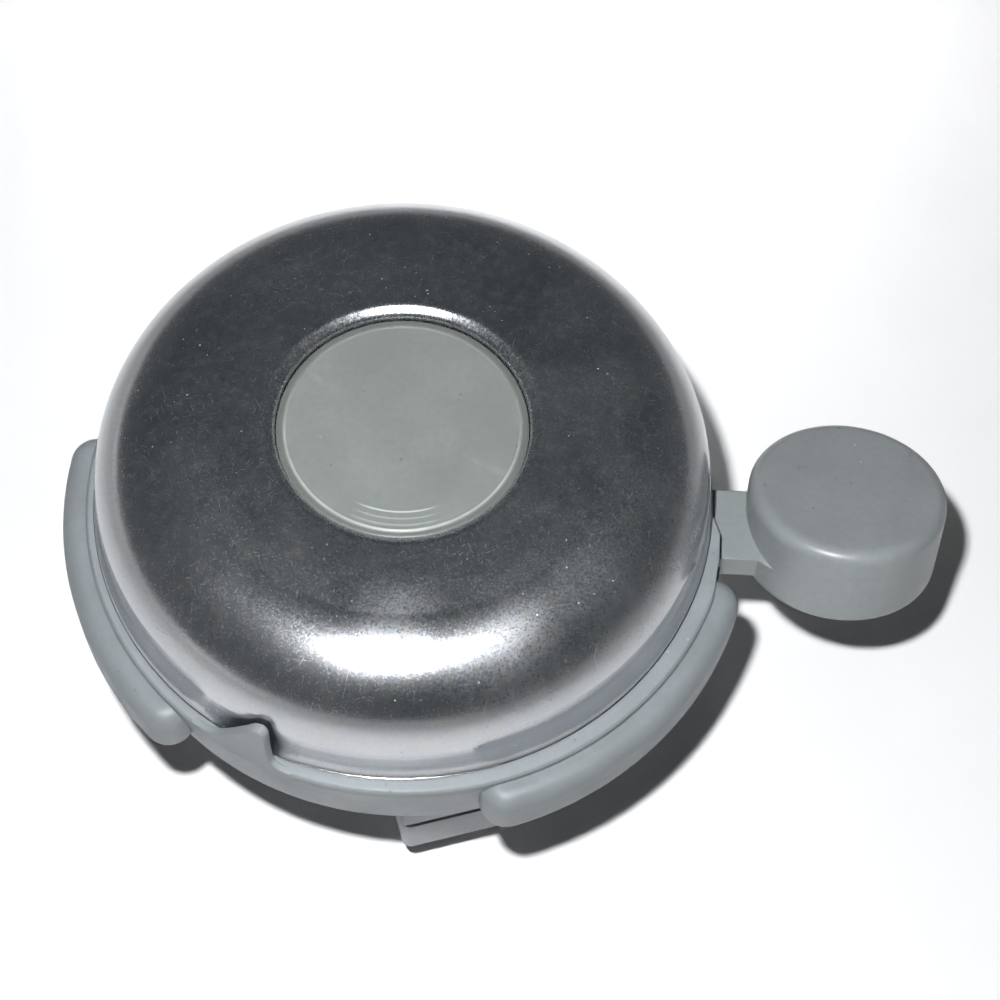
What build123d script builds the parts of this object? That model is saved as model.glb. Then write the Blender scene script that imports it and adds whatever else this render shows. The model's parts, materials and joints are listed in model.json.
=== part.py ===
# Thumb-lever bicycle bell for a 22.2 mm handlebar, in millimetres.
# Frame: the origin is the centre of the clamp bore, +X runs along the handlebar,
# +Z is the axis of the bell dome, pointing away from the bar.
# A short stroke of the lever turns a geared rotor; two loose washers on the rotor
# swing out and strike the inside of the dome.

from build123d import *
import math
import os

os.makedirs("parts", exist_ok=True)

# ------------------------------------------------------------------ driving dimensions
BAR_R = 11.1            # handlebar radius held by the clamp
CLAMP_W = 14.0          # width of the clamp along the bar
CLAMP_GAP = 0.8         # gap between the clamp halves at the ears
EAR_Y = 25.0            # ears reach this far from the bar's axis
EAR_T = 5.6             # thickness of each ear
SCREW_Y = 20.4          # clamp screws, distance from the bar's axis
FOOT_Z = -14.2          # flat underside of the lower jaw

FLOOR_Z0, FLOOR_Z1 = 13.0, 15.0      # underside and top of the housing's floor
RIM_Z = 22.3            # top of the housing's lip
LIP_R = 30.95           # outer radius of the lip
HOUSE_R_BOT = 29.9      # outer radius of the housing at its underside
HOUSE_IN_TOP, HOUSE_IN_BOT = 28.9, 28.2

BUMPER_R = 33.4         # outer radius of the bumper arcs
BUMPER_Z = (15.2, 21.6) # underside and top of the bumper arcs
BUMPER_AT = (62, 183.5, 298.9)       # middle of each arc, degrees
BUMPER_SPAN = 52.0      # length of each arc between its end roundings, degrees

SLOT_A0, SLOT_A1 = -27.4, 16.0       # lever slot, degrees
SLOT_Z0, SLOT_Z1 = 15.4, 20.0        # lever slot, heights

TAB_A0, TAB_TIP, TAB_A1 = -143.5, -129.7, -124.0   # fin on the lip, degrees
TAB_H = 5.7             # height of the fin above the lip

DOME_R = 29.75          # dome radius at its slightly turned-out edge
DOME_Z0 = 22.55         # dome's edge, just clear of the lip
DOME_WALL = 29.0        # radius where the straight wall runs into the shoulder
DOME_TOP = 35.7
DOME_SHOULDER = 9.1
DOME_T = 1.0
RECESS_R, RECESS_Z = 11.75, 31.6
RECESS_EDGE = 0.75      # rounding where the top turns down into the recess
DOME_SHIFT = (-0.43, 0.135)          # the clearance hole lets the dome sit this far off the post

CAP_R, CAP_Z = 11.5, 34.75
POST_R0, POST_R1, POST_R2 = 2.5, 2.0, 1.5

LEVER_PIVOT = (17.0, 0.0)
LEVER_Z0, LEVER_Z1 = 16.1, 19.3
LEVER_DIR = -17.5       # direction of the lever arm at rest, degrees
LEVER_STROKE = 45.0
ARM_W_NEAR, ARM_W_FAR = -4.0, 3.6    # arm's edges, measured across LEVER_DIR
PAD_C = (41.04, -11.26, 18.1)        # centre of the thumb pad
PAD_R, PAD_H, PAD_TILT = 9.65, 9.0, 16.9

MODULE = 0.8
PRESSURE = 25.0
Z_SECTOR, Z_IDLER_PINION, Z_IDLER_WHEEL, Z_ROTOR = 32, 10, 28, 10
IDLER = (7.0, 13.5)

ROTOR_ARM_Z0, ROTOR_ARM_Z1 = 23.1, 24.3
HAMMER_AT = 19.4        # stud radius on the rotor
HAMMER_R, HAMMER_HOLE = 7.0, 3.5
HAMMER_Z0, HAMMER_Z1 = 24.6, 26.9
STUD_R = 2.0
ROTOR_DIR = 40.0        # direction of the rotor arm at rest, degrees

PLATE_T = 0.8
PLATE_SCREWS = ((-3.6, 11.6), (-3.6, -11.6), (3.6, -12.4))
RUN = 0.05              # running clearance on a radius


def polar(r, a, cx=0.0, cy=0.0):
    """Point at radius r and angle a (degrees) about (cx, cy)."""
    return (cx + r * math.cos(math.radians(a)), cy + r * math.sin(math.radians(a)))


def lever_xy(t, w):
    """Point t along the lever arm and w across it, in the frame's X and Y."""
    c, s = math.cos(math.radians(LEVER_DIR)), math.sin(math.radians(LEVER_DIR))
    return (t * c - w * s, t * s + w * c)


def inv(a):
    return math.tan(a) - a


def tooth(teeth, centre_angle, cx, cy, play=0.10):
    """Outline of one involute tooth from root to root, counter-clockwise."""
    rp = MODULE * teeth / 2
    rb = rp * math.cos(math.radians(PRESSURE))
    ra = rp + 0.8 * MODULE
    rf = rp - 1.0 * MODULE
    half = (math.pi * MODULE / 2 - play) / 2 / rp + inv(math.radians(PRESSURE))
    flank = []
    r0 = max(rb, rf)
    for i in range(6):
        r = r0 + (ra - r0) * i / 5
        a = math.acos(min(1.0, rb / r))
        flank.append((r, half - inv(a)))
    pts = [(rf, flank[0][1])] if rf < r0 - 1e-6 else []
    pts = pts + flank
    out = [(r, -a) for r, a in pts] + [(r, a) for r, a in reversed(pts)]
    return [polar(r, centre_angle + math.degrees(a), cx, cy) for r, a in out]


def gear_outline(teeth, first_angle, cx=0.0, cy=0.0):
    pts = []
    for k in range(teeth):
        pts += tooth(teeth, first_angle + 360.0 * k / teeth, cx, cy)
    return pts


# return spring: its wire, and the peg that holds its fixed leg
SPRING_R, WIRE, PEG_R = 3.4, 0.6, 0.8
SPRING_PEG = (LEVER_PIVOT[0] - SPRING_R - PEG_R - WIRE / 2 - 0.03, -4.3)
SPRING_LUG = (LEVER_PIVOT[0] + SPRING_R - PEG_R - WIRE / 2 - 0.03, -4.25)


# ------------------------------------------------------------------ housing
with BuildPart() as base_housing:
    # shallow cup: floor and tapering wall
    with BuildSketch(Plane.XZ):
        with BuildLine():
            Polyline((0, FLOOR_Z0), (HOUSE_R_BOT - 0.9, FLOOR_Z0), (HOUSE_R_BOT, FLOOR_Z0 + 0.9),
                     (LIP_R, RIM_Z - 1.0), (LIP_R, RIM_Z - 0.25), (LIP_R - 0.25, RIM_Z),
                     (HOUSE_IN_TOP, RIM_Z), (HOUSE_IN_BOT, FLOOR_Z1), (0, FLOOR_Z1), close=True)
        make_face()
    revolve(axis=Axis.Z)
    # the lip is open above the slot, and thins to a point on each side of the opening
    lip_cut = [(-36.0, 30.95), (-28.0, 30.42), (-23.0, 30.12), (-18.8, 29.2), (-18.8, 26.0), (9.0, 26.0), (9.0, 29.2), (13.0, 30.12), (18.0, 30.42), (26.0, 30.95)]
    with BuildSketch(Plane.XY.offset(SLOT_Z1 - 0.01)):
        with BuildLine():
            Polyline(*[polar(r, a) for a, r in lip_cut], polar(36, 26.0), polar(40, -5.0), polar(36, -36.0), close=True)
        make_face()
    extrude(amount=4, mode=Mode.SUBTRACT)
    # rounded bumper arcs outside the wall
    zb0, zb1 = BUMPER_Z
    zc, hh, rr = (zb0 + zb1) / 2, (zb1 - zb0) / 2, 1.75
    core = BUMPER_R - rr
    for mid in BUMPER_AT:
        start = Plane(origin=(0, 0, 0), x_dir=(*polar(1, mid - BUMPER_SPAN / 2), 0),
                      z_dir=(*polar(1, mid - BUMPER_SPAN / 2 - 90), 0))
        with BuildSketch(start):
            with BuildLine():
                Polyline((29.4, zb0), (core, zb0))
                ThreePointArc((core, zb0), (core + rr * math.sin(math.pi / 4), zb0 + rr * (1 - math.cos(math.pi / 4))), (BUMPER_R, zb0 + rr))
                Polyline((BUMPER_R, zb0 + rr), (BUMPER_R, zb1 - rr))
                ThreePointArc((BUMPER_R, zb1 - rr), (core + rr * math.sin(math.pi / 4), zb1 - rr * (1 - math.cos(math.pi / 4))), (core, zb1))
                Polyline((core, zb1), (29.4, zb1), (29.4, zb0))
            make_face()
        revolve(axis=Axis.Z, revolution_arc=BUMPER_SPAN)
        # the ends turn round in plan
        for side in (-1, 1):
            end = mid + side * BUMPER_SPAN / 2
            hub = 30.9
            ex, ey = polar(hub, end)
            pl = Plane(origin=(ex, ey, 0), x_dir=(*polar(1, end), 0), z_dir=(*polar(1, end - 90), 0))
            with BuildSketch(pl):
                with BuildLine():
                    Polyline((0, zb0), (core - hub, zb0))
                    ThreePointArc((core - hub, zb0), (core - hub + rr * math.sin(math.pi / 4), zb0 + rr * (1 - math.cos(math.pi / 4))), (BUMPER_R - hub, zb0 + rr))
                    Polyline((BUMPER_R - hub, zb0 + rr), (BUMPER_R - hub, zb1 - rr))
                    ThreePointArc((BUMPER_R - hub, zb1 - rr), (core - hub + rr * math.sin(math.pi / 4), zb1 - rr * (1 - math.cos(math.pi / 4))), (core - hub, zb1))
                    Polyline((core - hub, zb1), (0, zb1), (0, zb0))
                make_face()
            revolve(axis=Axis((ex, ey, 0), (0, 0, 1)), revolution_arc=360)
    # clear the inside again after the bumper ends
    with BuildSketch(Plane.XZ):
        with BuildLine():
            Polyline((0, FLOOR_Z1), (HOUSE_IN_BOT, FLOOR_Z1), (HOUSE_IN_TOP, RIM_Z), (HOUSE_IN_TOP, RIM_Z + 12), (0, RIM_Z + 12), close=True)
        make_face()
    revolve(axis=Axis.Z, mode=Mode.SUBTRACT)
    # lever slot through the wall
    with BuildSketch(Plane.XY.offset(SLOT_Z0)):
        with BuildLine():
            Polyline((24 * math.cos(math.radians(SLOT_A0)), 24 * math.sin(math.radians(SLOT_A0))), polar(36, SLOT_A0), polar(38, (SLOT_A0 + SLOT_A1) / 2),
                     polar(36, SLOT_A1), polar(24, SLOT_A1), close=True)
        make_face()
    extrude(amount=SLOT_Z1 - SLOT_Z0, mode=Mode.SUBTRACT)
    # fin on the lip, leaning in beside the dome
    fin_start = Plane(origin=(0, 0, 0), x_dir=(*polar(1, TAB_A0), 0), z_dir=(*polar(1, TAB_A0 - 90), 0))
    with BuildSketch(fin_start):
        with BuildLine():
            Polyline((30.1, RIM_Z - 0.6), (LIP_R, RIM_Z - 0.6), (LIP_R - 0.02, RIM_Z), (30.30, RIM_Z + TAB_H), (29.36, RIM_Z + TAB_H), (30.30, RIM_Z + 0.02), close=True)
        make_face()
    revolve(axis=Axis.Z, revolution_arc=TAB_A1 - TAB_A0)
    # the fin's outline: it climbs slowly, then drops steeply
    mid_a = (TAB_A0 + TAB_A1) / 2
    fin_face = Plane(origin=(*polar(26, mid_a), RIM_Z), x_dir=(*polar(1, mid_a + 90), 0), z_dir=(*polar(1, mid_a), 0))

    def along(a):
        return 30.4 * math.sin(math.radians(a - mid_a))

    with BuildSketch(fin_face):
        with BuildLine():
            Spline((along(TAB_A0) - 0.2, 0.0), (along(-139.0), 0.75), (along(-135.0), 2.9), (along(-131.8), 4.9), (along(TAB_TIP), 5.55), tangents=((1, 0.05), (1, 0.1)))
            Spline((along(TAB_TIP), 5.55), (along(-128.5), 3.9), (along(-127.9), 1.6), (along(-127.0), 0.42), (along(-125.8), 0.10), (along(TAB_A1) + 0.1, -0.02), tangents=((1, -0.35), (1, -0.03)))
            Polyline((along(TAB_A1) + 0.1, -0.02), (along(TAB_A1) + 3, -0.02), (along(TAB_A1) + 3, 9.0), (along(TAB_A0) - 3, 9.0), (along(TAB_A0) - 3, 0.0), (along(TAB_A0) - 0.2, 0.0))
        make_face()
    extrude(amount=7, mode=Mode.SUBTRACT)
    # screw holes down into the clamp saddle
    with Locations(*[(x, y, FLOOR_Z1) for x, y in PLATE_SCREWS]):
        Hole(1.55, depth=6)
    # drain holes in the floor
    with Locations((-20, 4, FLOOR_Z1), (-17, -13, FLOOR_Z1)):
        Hole(1.5, depth=6)
base_housing.part.label = "base_housing"

# ------------------------------------------------------------------ clamp
with BuildPart() as clamp_saddle:
    with BuildSketch(Plane.YZ):
        with BuildLine():
            Polyline((-EAR_Y, CLAMP_GAP / 2), (EAR_Y, CLAMP_GAP / 2), (EAR_Y, EAR_T), (16.5, EAR_T), (16.5, FLOOR_Z0),
                     (-16.5, FLOOR_Z0), (-16.5, EAR_T), (-EAR_Y, EAR_T), close=True)
        make_face()
    extrude(amount=CLAMP_W / 2, both=True)
    with BuildSketch(Plane.XY.offset(FLOOR_Z0 - 1.7)):
        SlotOverall(39, 19, rotation=90)
    extrude(amount=1.7)
    with BuildSketch(Plane.YZ):
        Circle(BAR_R)
    extrude(amount=CLAMP_W, both=True, mode=Mode.SUBTRACT)
    fillet(clamp_saddle.edges().filter_by(Axis.X).filter_by(lambda e: abs(abs(e.center().Y) - 16.5) < 0.1 and abs(e.center().Z - EAR_T) < 0.1), 1.2)
    with Locations((0, SCREW_Y, EAR_T), (0, -SCREW_Y, EAR_T)):
        Hole(2.15, depth=12)
    with BuildSketch(Plane.XY.offset(EAR_T - 2.6)):
        with Locations((0, SCREW_Y), (0, -SCREW_Y)):
            RegularPolygon(3.55, 6, major_radius=False)
    extrude(amount=12, mode=Mode.SUBTRACT)
    with Locations(*[(x, y, FLOOR_Z0) for x, y in PLATE_SCREWS]):
        Hole(1.2, depth=6)
clamp_saddle.part.label = "clamp_saddle"

with BuildPart() as clamp_jaw:
    with BuildSketch(Plane.YZ):
        Circle(15.6)
        Rectangle(40, 40, align=(Align.CENTER, Align.MIN), mode=Mode.SUBTRACT)
        with Locations((0, FOOT_Z)):
            Rectangle(40, 10, align=(Align.CENTER, Align.MAX), mode=Mode.SUBTRACT)
        with Locations((0, -CLAMP_GAP / 2)):
            Rectangle(2 * EAR_Y, EAR_T, align=(Align.CENTER, Align.MAX))
        with Locations((0, 0)):
            Rectangle(60, CLAMP_GAP, mode=Mode.SUBTRACT)
        Circle(BAR_R, mode=Mode.SUBTRACT)
    extrude(amount=CLAMP_W / 2, both=True)
    fillet(clamp_jaw.edges().filter_by(Axis.Z).filter_by(lambda e: abs(e.center().Y) > EAR_Y - 0.1), 1.0)
    with Locations((0, SCREW_Y, 0), (0, -SCREW_Y, 0)):
        Hole(2.15, depth=12)
clamp_jaw.part.label = "clamp_jaw"

ear_z = -CLAMP_GAP / 2 - EAR_T
with BuildPart() as clamp_screws:
    with BuildSketch(Plane.XY.offset(ear_z - 2.6)):
        with Locations((0, SCREW_Y), (0, -SCREW_Y)):
            Circle(3.5)
    extrude(amount=2.6)
    with BuildSketch(Plane.XY.offset(ear_z)):
        with Locations((0, SCREW_Y), (0, -SCREW_Y)):
            Circle(1.98)
    extrude(amount=15.4 - 1.2)
    # cross recess for a screwdriver
    with BuildSketch(Plane.XY.offset(ear_z - 2.6)):
        with Locations((0, SCREW_Y), (0, -SCREW_Y)):
            Rectangle(3.8, 0.9)
            Rectangle(0.9, 3.8)
    extrude(amount=1.5, mode=Mode.SUBTRACT)
    fillet(clamp_screws.edges().filter_by(GeomType.CIRCLE).filter_by(lambda e: abs(e.center().Z - (ear_z - 2.6)) < 0.01 and abs(e.radius - 3.5) < 0.01), 1.0)
clamp_screws.part.label = "clamp_screws"

with BuildPart() as clamp_nuts:
    with BuildSketch(Plane.XY.offset(EAR_T - 2.6)):
        with Locations((0, SCREW_Y), (0, -SCREW_Y)):
            RegularPolygon(3.5, 6, major_radius=False)
            Circle(2.0, mode=Mode.SUBTRACT)
    extrude(amount=3.0)
clamp_nuts.part.label = "clamp_nuts"

# ------------------------------------------------------------------ mechanism plate and its pins
with BuildPart() as mechanism_plate:
    with BuildSketch(Plane.XY.offset(FLOOR_Z1)):
        with BuildLine():
            Polyline((-10.5, -16), (10.0, -16.0), (21.5, -8), (22.5, 6), (15.5, 18.5), (2.0, 20.0), (-10.5, 15.5), close=True)
        make_face()
        fillet(vertices(), 3.5)
        Circle(1.8, mode=Mode.SUBTRACT)
        with Locations(*PLATE_SCREWS):
            Circle(1.6, mode=Mode.SUBTRACT)
        with Locations(LEVER_PIVOT):
            Circle(1.6, mode=Mode.SUBTRACT)
        with Locations(IDLER):
            Circle(1.3, mode=Mode.SUBTRACT)
    extrude(amount=PLATE_T)
    # peg that holds the return spring's fixed leg
    with BuildSketch(Plane.XY.offset(FLOOR_Z1)):
        with Locations(SPRING_PEG):
            Circle(PEG_R)
    extrude(amount=7.2)
mechanism_plate.part.label = "mechanism_plate"
PLATE_TOP = FLOOR_Z1 + PLATE_T

with BuildPart() as plate_screws:
    with BuildSketch(Plane.XY.offset(PLATE_TOP)):
        with Locations(*PLATE_SCREWS):
            Circle(2.6)
    extrude(amount=1.5)
    with BuildSketch(Plane.XY.offset(PLATE_TOP + 0.9)):
        with Locations(*PLATE_SCREWS):
            Rectangle(3.0, 0.6)
            Rectangle(0.6, 3.0)
    extrude(amount=2, mode=Mode.SUBTRACT)
    with BuildSketch(Plane.XY.offset(PLATE_TOP - 7.6)):
        with Locations(*PLATE_SCREWS):
            Circle(1.2)
    extrude(amount=7.6)
plate_screws.part.label = "plate_screws"

DOME_SEAT = RECESS_Z - DOME_T
with BuildPart() as centre_post:
    with BuildSketch(Plane.XZ):
        with BuildLine():
            Polyline((0, FLOOR_Z1), (1.8, FLOOR_Z1), (1.8, PLATE_TOP), (3.4, PLATE_TOP), (3.4, PLATE_TOP + 0.5), (POST_R0, PLATE_TOP + 0.5),
                     (POST_R0, 19.4), (POST_R1, 19.4), (POST_R1, 24.45), (1.55, 24.45), (1.55, 25.05), (POST_R1, 25.05),
                     (POST_R1, DOME_SEAT - 0.7), (POST_R2, DOME_SEAT - 0.7), (POST_R2, RECESS_Z + 1.75), (0, RECESS_Z + 1.75), close=True)
        make_face()
    revolve(axis=Axis.Z)
centre_post.part.label = "centre_post"

with BuildPart() as lever_pivot_pin:
    with BuildSketch(Plane.XZ.offset(-LEVER_PIVOT[1])):
        with BuildLine():
            px = LEVER_PIVOT[0]
            Polyline((px, FLOOR_Z1), (px + 1.6, FLOOR_Z1), (px + 1.6, PLATE_TOP), (px + 3.2, PLATE_TOP), (px + 3.2, LEVER_Z0 - 0.05), (px + 2.0, LEVER_Z0 - 0.05),
                     (px + 2.0, 21.95), (px + 1.5, 21.95), (px + 1.5, 22.45), (px + 2.0, 22.45), (px + 2.0, 22.7), (px, 22.7), close=True)
        make_face()
    revolve(axis=Axis((LEVER_PIVOT[0], LEVER_PIVOT[1], 0), (0, 0, 1)))
lever_pivot_pin.part.label = "lever_pivot_pin"

with BuildPart() as idler_pin:
    with BuildSketch(Plane.XZ.offset(-IDLER[1])):
        with BuildLine():
            qx = IDLER[0]
            Polyline((qx, FLOOR_Z1), (qx + 1.3, FLOOR_Z1), (qx + 1.3, PLATE_TOP), (qx + 2.6, PLATE_TOP), (qx + 2.6, LEVER_Z0 - 0.05), (qx + 1.5, LEVER_Z0 - 0.05),
                     (qx + 1.5, 21.05), (qx + 1.1, 21.05), (qx + 1.1, 21.55), (qx + 1.5, 21.55), (qx + 1.5, 21.9), (qx, 21.9), close=True)
        make_face()
    revolve(axis=Axis((IDLER[0], IDLER[1], 0), (0, 0, 1)))
idler_pin.part.label = "idler_pin"


def clip_gap(angle, r_in, r_out, cx, cy):
    """Corners of the opening of a spring clip."""
    w = r_in * 0.75
    c, s = math.cos(math.radians(angle)), math.sin(math.radians(angle))
    return [(cx + t * c - v * s, cy + t * s + v * c) for t, v in ((0.2, -w), (r_out + 1, -w), (r_out + 1, w), (0.2, w))]


with BuildPart() as lever_pivot_clip:
    with BuildSketch(Plane.XY.offset(21.97)):
        with Locations(LEVER_PIVOT):
            Circle(3.3)
            Circle(1.52, mode=Mode.SUBTRACT)
        with BuildLine():
            Polyline(*clip_gap(20, 1.52, 3.3, *LEVER_PIVOT), close=True)
        make_face(mode=Mode.SUBTRACT)
    extrude(amount=0.46)
lever_pivot_clip.part.label = "lever_pivot_clip"

with BuildPart() as idler_clip:
    with BuildSketch(Plane.XY.offset(21.07)):
        with Locations(IDLER):
            Circle(2.7)
            Circle(1.12, mode=Mode.SUBTRACT)
        with BuildLine():
            Polyline(*clip_gap(70, 1.12, 2.7, *IDLER), close=True)
        make_face(mode=Mode.SUBTRACT)
    extrude(amount=0.46)
idler_clip.part.label = "idler_clip"

with BuildPart() as rotor_clip:
    with BuildSketch(Plane.XY.offset(24.5)):
        Circle(3.3)
        Circle(1.57, mode=Mode.SUBTRACT)
        with BuildLine():
            Polyline(*clip_gap(130, 1.57, 3.3, 0, 0), close=True)
        make_face(mode=Mode.SUBTRACT)
    extrude(amount=0.5)
rotor_clip.part.label = "rotor_clip"

# ------------------------------------------------------------------ lever: arm, gear sector and thumb pad in one moulding
MESH_A = math.degrees(math.atan2(IDLER[1] - LEVER_PIVOT[1], IDLER[0] - LEVER_PIVOT[0]))   # from the pivot to the idler
PITCH_A = 360.0 / Z_SECTOR
sector_pts = []
for k in range(-5, 2):
    sector_pts += tooth(Z_SECTOR, MESH_A + k * PITCH_A, *LEVER_PIVOT)
sector_root = MODULE * Z_SECTOR / 2 - MODULE
sector_a0, sector_a1 = MESH_A - 5.5 * PITCH_A, MESH_A + 1.5 * PITCH_A
sector_pts = [polar(2.4, sector_a0 - 25, *LEVER_PIVOT), polar(sector_root, sector_a0, *LEVER_PIVOT)] + sector_pts + [
    polar(sector_root, sector_a1, *LEVER_PIVOT), polar(2.4, sector_a1 + 25, *LEVER_PIVOT)]

tilt_sin, tilt_cos = math.sin(math.radians(PAD_TILT)), math.cos(math.radians(PAD_TILT))
press_dir = polar(1, LEVER_DIR + 90)                      # the way the thumb pushes
pad_n = (tilt_sin * press_dir[0], tilt_sin * press_dir[1], tilt_cos)
with BuildPart() as thumb_lever:
    pad_plane = Plane(origin=PAD_C, x_dir=(*polar(1, LEVER_DIR), 0), z_dir=pad_n)
    with BuildSketch(pad_plane.offset(-PAD_H / 2)):
        Circle(PAD_R)
    extrude(amount=PAD_H)
    fillet(thumb_lever.edges().group_by(SortBy.LENGTH)[-1].sort_by(Axis.Z)[-1], 1.3)
    fillet(thumb_lever.faces().sort_by(Axis.Z)[0].edges(), 0.7)
    with BuildSketch(Plane.XY.offset(LEVER_Z0)):
        with BuildLine():
            Polyline(lever_xy(18.4, 9.1), lever_xy(22.4, 5.6), lever_xy(25.6, ARM_W_FAR), lever_xy(37.0, ARM_W_FAR), lever_xy(37.0, -5.9), lever_xy(36.0, -5.3),
                     lever_xy(34.0, ARM_W_NEAR), lever_xy(23.0, ARM_W_NEAR), lever_xy(18.6, -3.0), lever_xy(13.2, 1.7), close=True)
        make_face()
        with Locations(LEVER_PIVOT):
            Circle(4.7)
    extrude(amount=LEVER_Z1 - LEVER_Z0)
    with BuildSketch(Plane.XY.offset(LEVER_Z0)):
        with BuildLine():
            Polyline(*sector_pts, close=True)
        make_face()
    extrude(amount=LEVER_Z1 - LEVER_Z0)
    # collar that carries the return spring
    with BuildSketch(Plane.XY.offset(LEVER_Z1)):
        with Locations(LEVER_PIVOT):
            Circle(2.85)
    extrude(amount=2.5)
    # lug that the spring's moving leg pushes on
    with BuildSketch(Plane.XY.offset(LEVER_Z1)):
        with Locations(SPRING_LUG):
            Circle(PEG_R)
    extrude(amount=1.4)
    with Locations((*LEVER_PIVOT, LEVER_Z1 + 2.5)):
        Hole(2.0 + RUN, depth=8)
thumb_lever.part.label = "thumb_lever"

# return spring round the collar: two and a half turns of wire with a leg at each end
with BuildPart() as lever_return_spring:
    with BuildLine(Plane.XY.offset(19.75)) as coil:
        Helix(0.72, 1.8, SPRING_R, center=(*LEVER_PIVOT, 0))
    with BuildSketch(Plane(origin=coil.line @ 0, z_dir=coil.line % 0)):
        Circle(WIRE / 2)
    sweep(path=coil.line)
    # straight legs at both ends, and the loop over the peg
    with BuildSketch(Plane(origin=coil.line @ 0, z_dir=(coil.line % 0) * -1)):
        Circle(WIRE / 2)
    extrude(amount=5.0)
    with BuildSketch(Plane(origin=coil.line @ 1, z_dir=coil.line % 1)):
        Circle(WIRE / 2)
    extrude(amount=4.4)
    with BuildSketch(Plane(origin=(*SPRING_PEG, 21.53), x_dir=(1, 0, 0), z_dir=(0, -1, 0))):
        with Locations((PEG_R + WIRE / 2 + 0.03, 0)):
            Circle(WIRE / 2)
    revolve(axis=Axis((*SPRING_PEG, 0), (0, 0, 1)))
lever_return_spring.part.label = "lever_return_spring"

# ------------------------------------------------------------------ idler: pinion under a large wheel
with BuildPart() as idler_gear:
    with BuildSketch(Plane.XY.offset(LEVER_Z0)):
        with BuildLine():
            Polyline(*gear_outline(Z_IDLER_PINION, MESH_A + 180 + 18, *IDLER), close=True)
        make_face()
    extrude(amount=3.6)
    with BuildSketch(Plane.XY.offset(19.6)):
        with BuildLine():
            wheel_a = math.degrees(math.atan2(-IDLER[1], -IDLER[0]))
            Polyline(*gear_outline(Z_IDLER_WHEEL, wheel_a, *IDLER), close=True)
        make_face()
    extrude(amount=1.2)
    # lightening holes in the wheel
    with Locations(*[(*polar(7.4, wheel_a + 30 + 60 * k, *IDLER), 20.8) for k in range(6)]):
        Hole(1.6, depth=1.2)
    with Locations((*IDLER, 20.8)):
        Hole(1.5 + RUN, depth=10)
idler_gear.part.label = "idler_gear"

# ------------------------------------------------------------------ rotor: pinion, arm, studs and loose washers
with BuildPart() as rotor_pinion:
    with BuildSketch(Plane.XY.offset(19.5)):
        with BuildLine():
            Polyline(*gear_outline(Z_ROTOR, wheel_a + 180 + 18), close=True)
        make_face()
    extrude(amount=1.8)
    with BuildSketch(Plane.XY.offset(21.3)):
        Circle(3.6)
    extrude(amount=ROTOR_ARM_Z0 - 21.3)
    with BuildSketch(Plane.XY.offset(ROTOR_ARM_Z0)):
        Circle(2.9)
    extrude(amount=ROTOR_ARM_Z1 - ROTOR_ARM_Z0)
    with Locations((0, 0, ROTOR_ARM_Z1)):
        Hole(POST_R1 + RUN, depth=8)
rotor_pinion.part.label = "rotor_pinion"

hammer_xy = [polar(HAMMER_AT, ROTOR_DIR), polar(HAMMER_AT, ROTOR_DIR + 180)]
with BuildPart() as rotor_arm:
    with BuildSketch(Plane.XY.offset(ROTOR_ARM_Z0)):
        SlotOverall(2 * HAMMER_AT + 7.0, 7.0, rotation=ROTOR_DIR)
        Circle(5.6)
        Circle(2.9, mode=Mode.SUBTRACT)
        with Locations(*hammer_xy):
            Circle(1.4, mode=Mode.SUBTRACT)
    extrude(amount=ROTOR_ARM_Z1 - ROTOR_ARM_Z0)
rotor_arm.part.label = "rotor_arm"


def stud_profile(x0):
    return [(x0, ROTOR_ARM_Z0), (x0 + 1.4, ROTOR_ARM_Z0), (x0 + 1.4, ROTOR_ARM_Z1), (x0 + STUD_R, ROTOR_ARM_Z1), (x0 + STUD_R, HAMMER_Z1 + 0.25),
            (x0 + 5.3, HAMMER_Z1 + 0.25), (x0 + 5.3, HAMMER_Z1 + 0.85), (x0 + 4.7, HAMMER_Z1 + 1.15), (x0, HAMMER_Z1 + 1.15)]


with BuildPart() as hammer_stud_1:
    with BuildSketch(Plane(origin=(*hammer_xy[0], 0), x_dir=(1, 0, 0), z_dir=(0, -1, 0))):
        with BuildLine():
            Polyline(*stud_profile(0), close=True)
        make_face()
    revolve(axis=Axis((*hammer_xy[0], 0), (0, 0, 1)))
hammer_stud_1.part.label = "hammer_stud_1"

with BuildPart() as hammer_stud_2:
    with BuildSketch(Plane(origin=(*hammer_xy[1], 0), x_dir=(1, 0, 0), z_dir=(0, -1, 0))):
        with BuildLine():
            Polyline(*stud_profile(0), close=True)
        make_face()
    revolve(axis=Axis((*hammer_xy[1], 0), (0, 0, 1)))
hammer_stud_2.part.label = "hammer_stud_2"

with BuildPart() as hammer_1:
    with BuildSketch(Plane.XY.offset(HAMMER_Z0)):
        with Locations(hammer_xy[0]):
            Circle(HAMMER_R)
            Circle(HAMMER_HOLE, mode=Mode.SUBTRACT)
    extrude(amount=HAMMER_Z1 - HAMMER_Z0)
    chamfer(hammer_1.edges().filter_by(GeomType.CIRCLE).filter_by(lambda e: abs(e.radius - HAMMER_R) < 0.01), 0.35)
hammer_1.part.label = "hammer_1"

with BuildPart() as hammer_2:
    with BuildSketch(Plane.XY.offset(HAMMER_Z0)):
        with Locations(hammer_xy[1]):
            Circle(HAMMER_R)
            Circle(HAMMER_HOLE, mode=Mode.SUBTRACT)
    extrude(amount=HAMMER_Z1 - HAMMER_Z0)
    chamfer(hammer_2.edges().filter_by(GeomType.CIRCLE).filter_by(lambda e: abs(e.radius - HAMMER_R) < 0.01), 0.35)
hammer_2.part.label = "hammer_2"

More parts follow.
